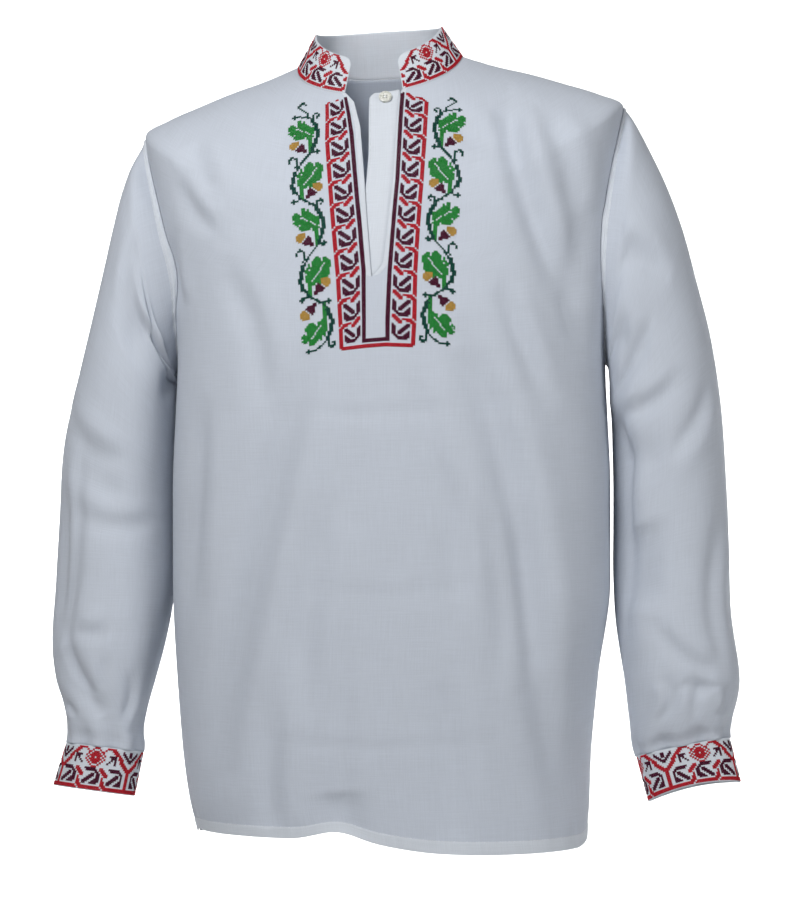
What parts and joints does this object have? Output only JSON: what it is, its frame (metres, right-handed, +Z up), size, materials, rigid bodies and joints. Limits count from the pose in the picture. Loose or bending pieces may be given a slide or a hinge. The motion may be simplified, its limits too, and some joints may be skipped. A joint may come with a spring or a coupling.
{
  "type": "embroidered folk shirt",
  "caption": "Long-sleeved cotton pullover shirt in its worn form, with a stand collar, buttoned neck slit, banded cuffs, and folk embroidery.",
  "frame": {"origin": "middle of the neck base, where the wearer's neck and shoulders hold the shirt up", "axes": "+Z up from hem to collar, -Y to the front of the wearer, +X to the wearer's left"},
  "size_m": [0.6917, 0.274, 0.8179],
  "materials": {
    "cotton": "plain woven white cotton, matt",
    "cotton_double": "double layers of the same cotton, a little whiter",
    "thread_red": "red stranded embroidery cotton",
    "thread_burgundy": "burgundy stranded embroidery cotton",
    "thread_green": "leaf-green stranded embroidery cotton",
    "thread_dark_green": "dark green stranded embroidery cotton",
    "thread_gold": "old-gold stranded embroidery cotton",
    "sewing_thread": "white sewing thread",
    "pearl": "pearl-white gloss"
  },
  "bodies": {
    "root": {"front": "cotton", "back": "cotton", "sleeve_left": "cotton", "sleeve_right": "cotton", "cuff_left": "cotton_double", "cuff_right": "cotton_double", "collar": "cotton_double", "slit_strip": "cotton_double", "button": "pearl"}
  },
  "joints": []
}
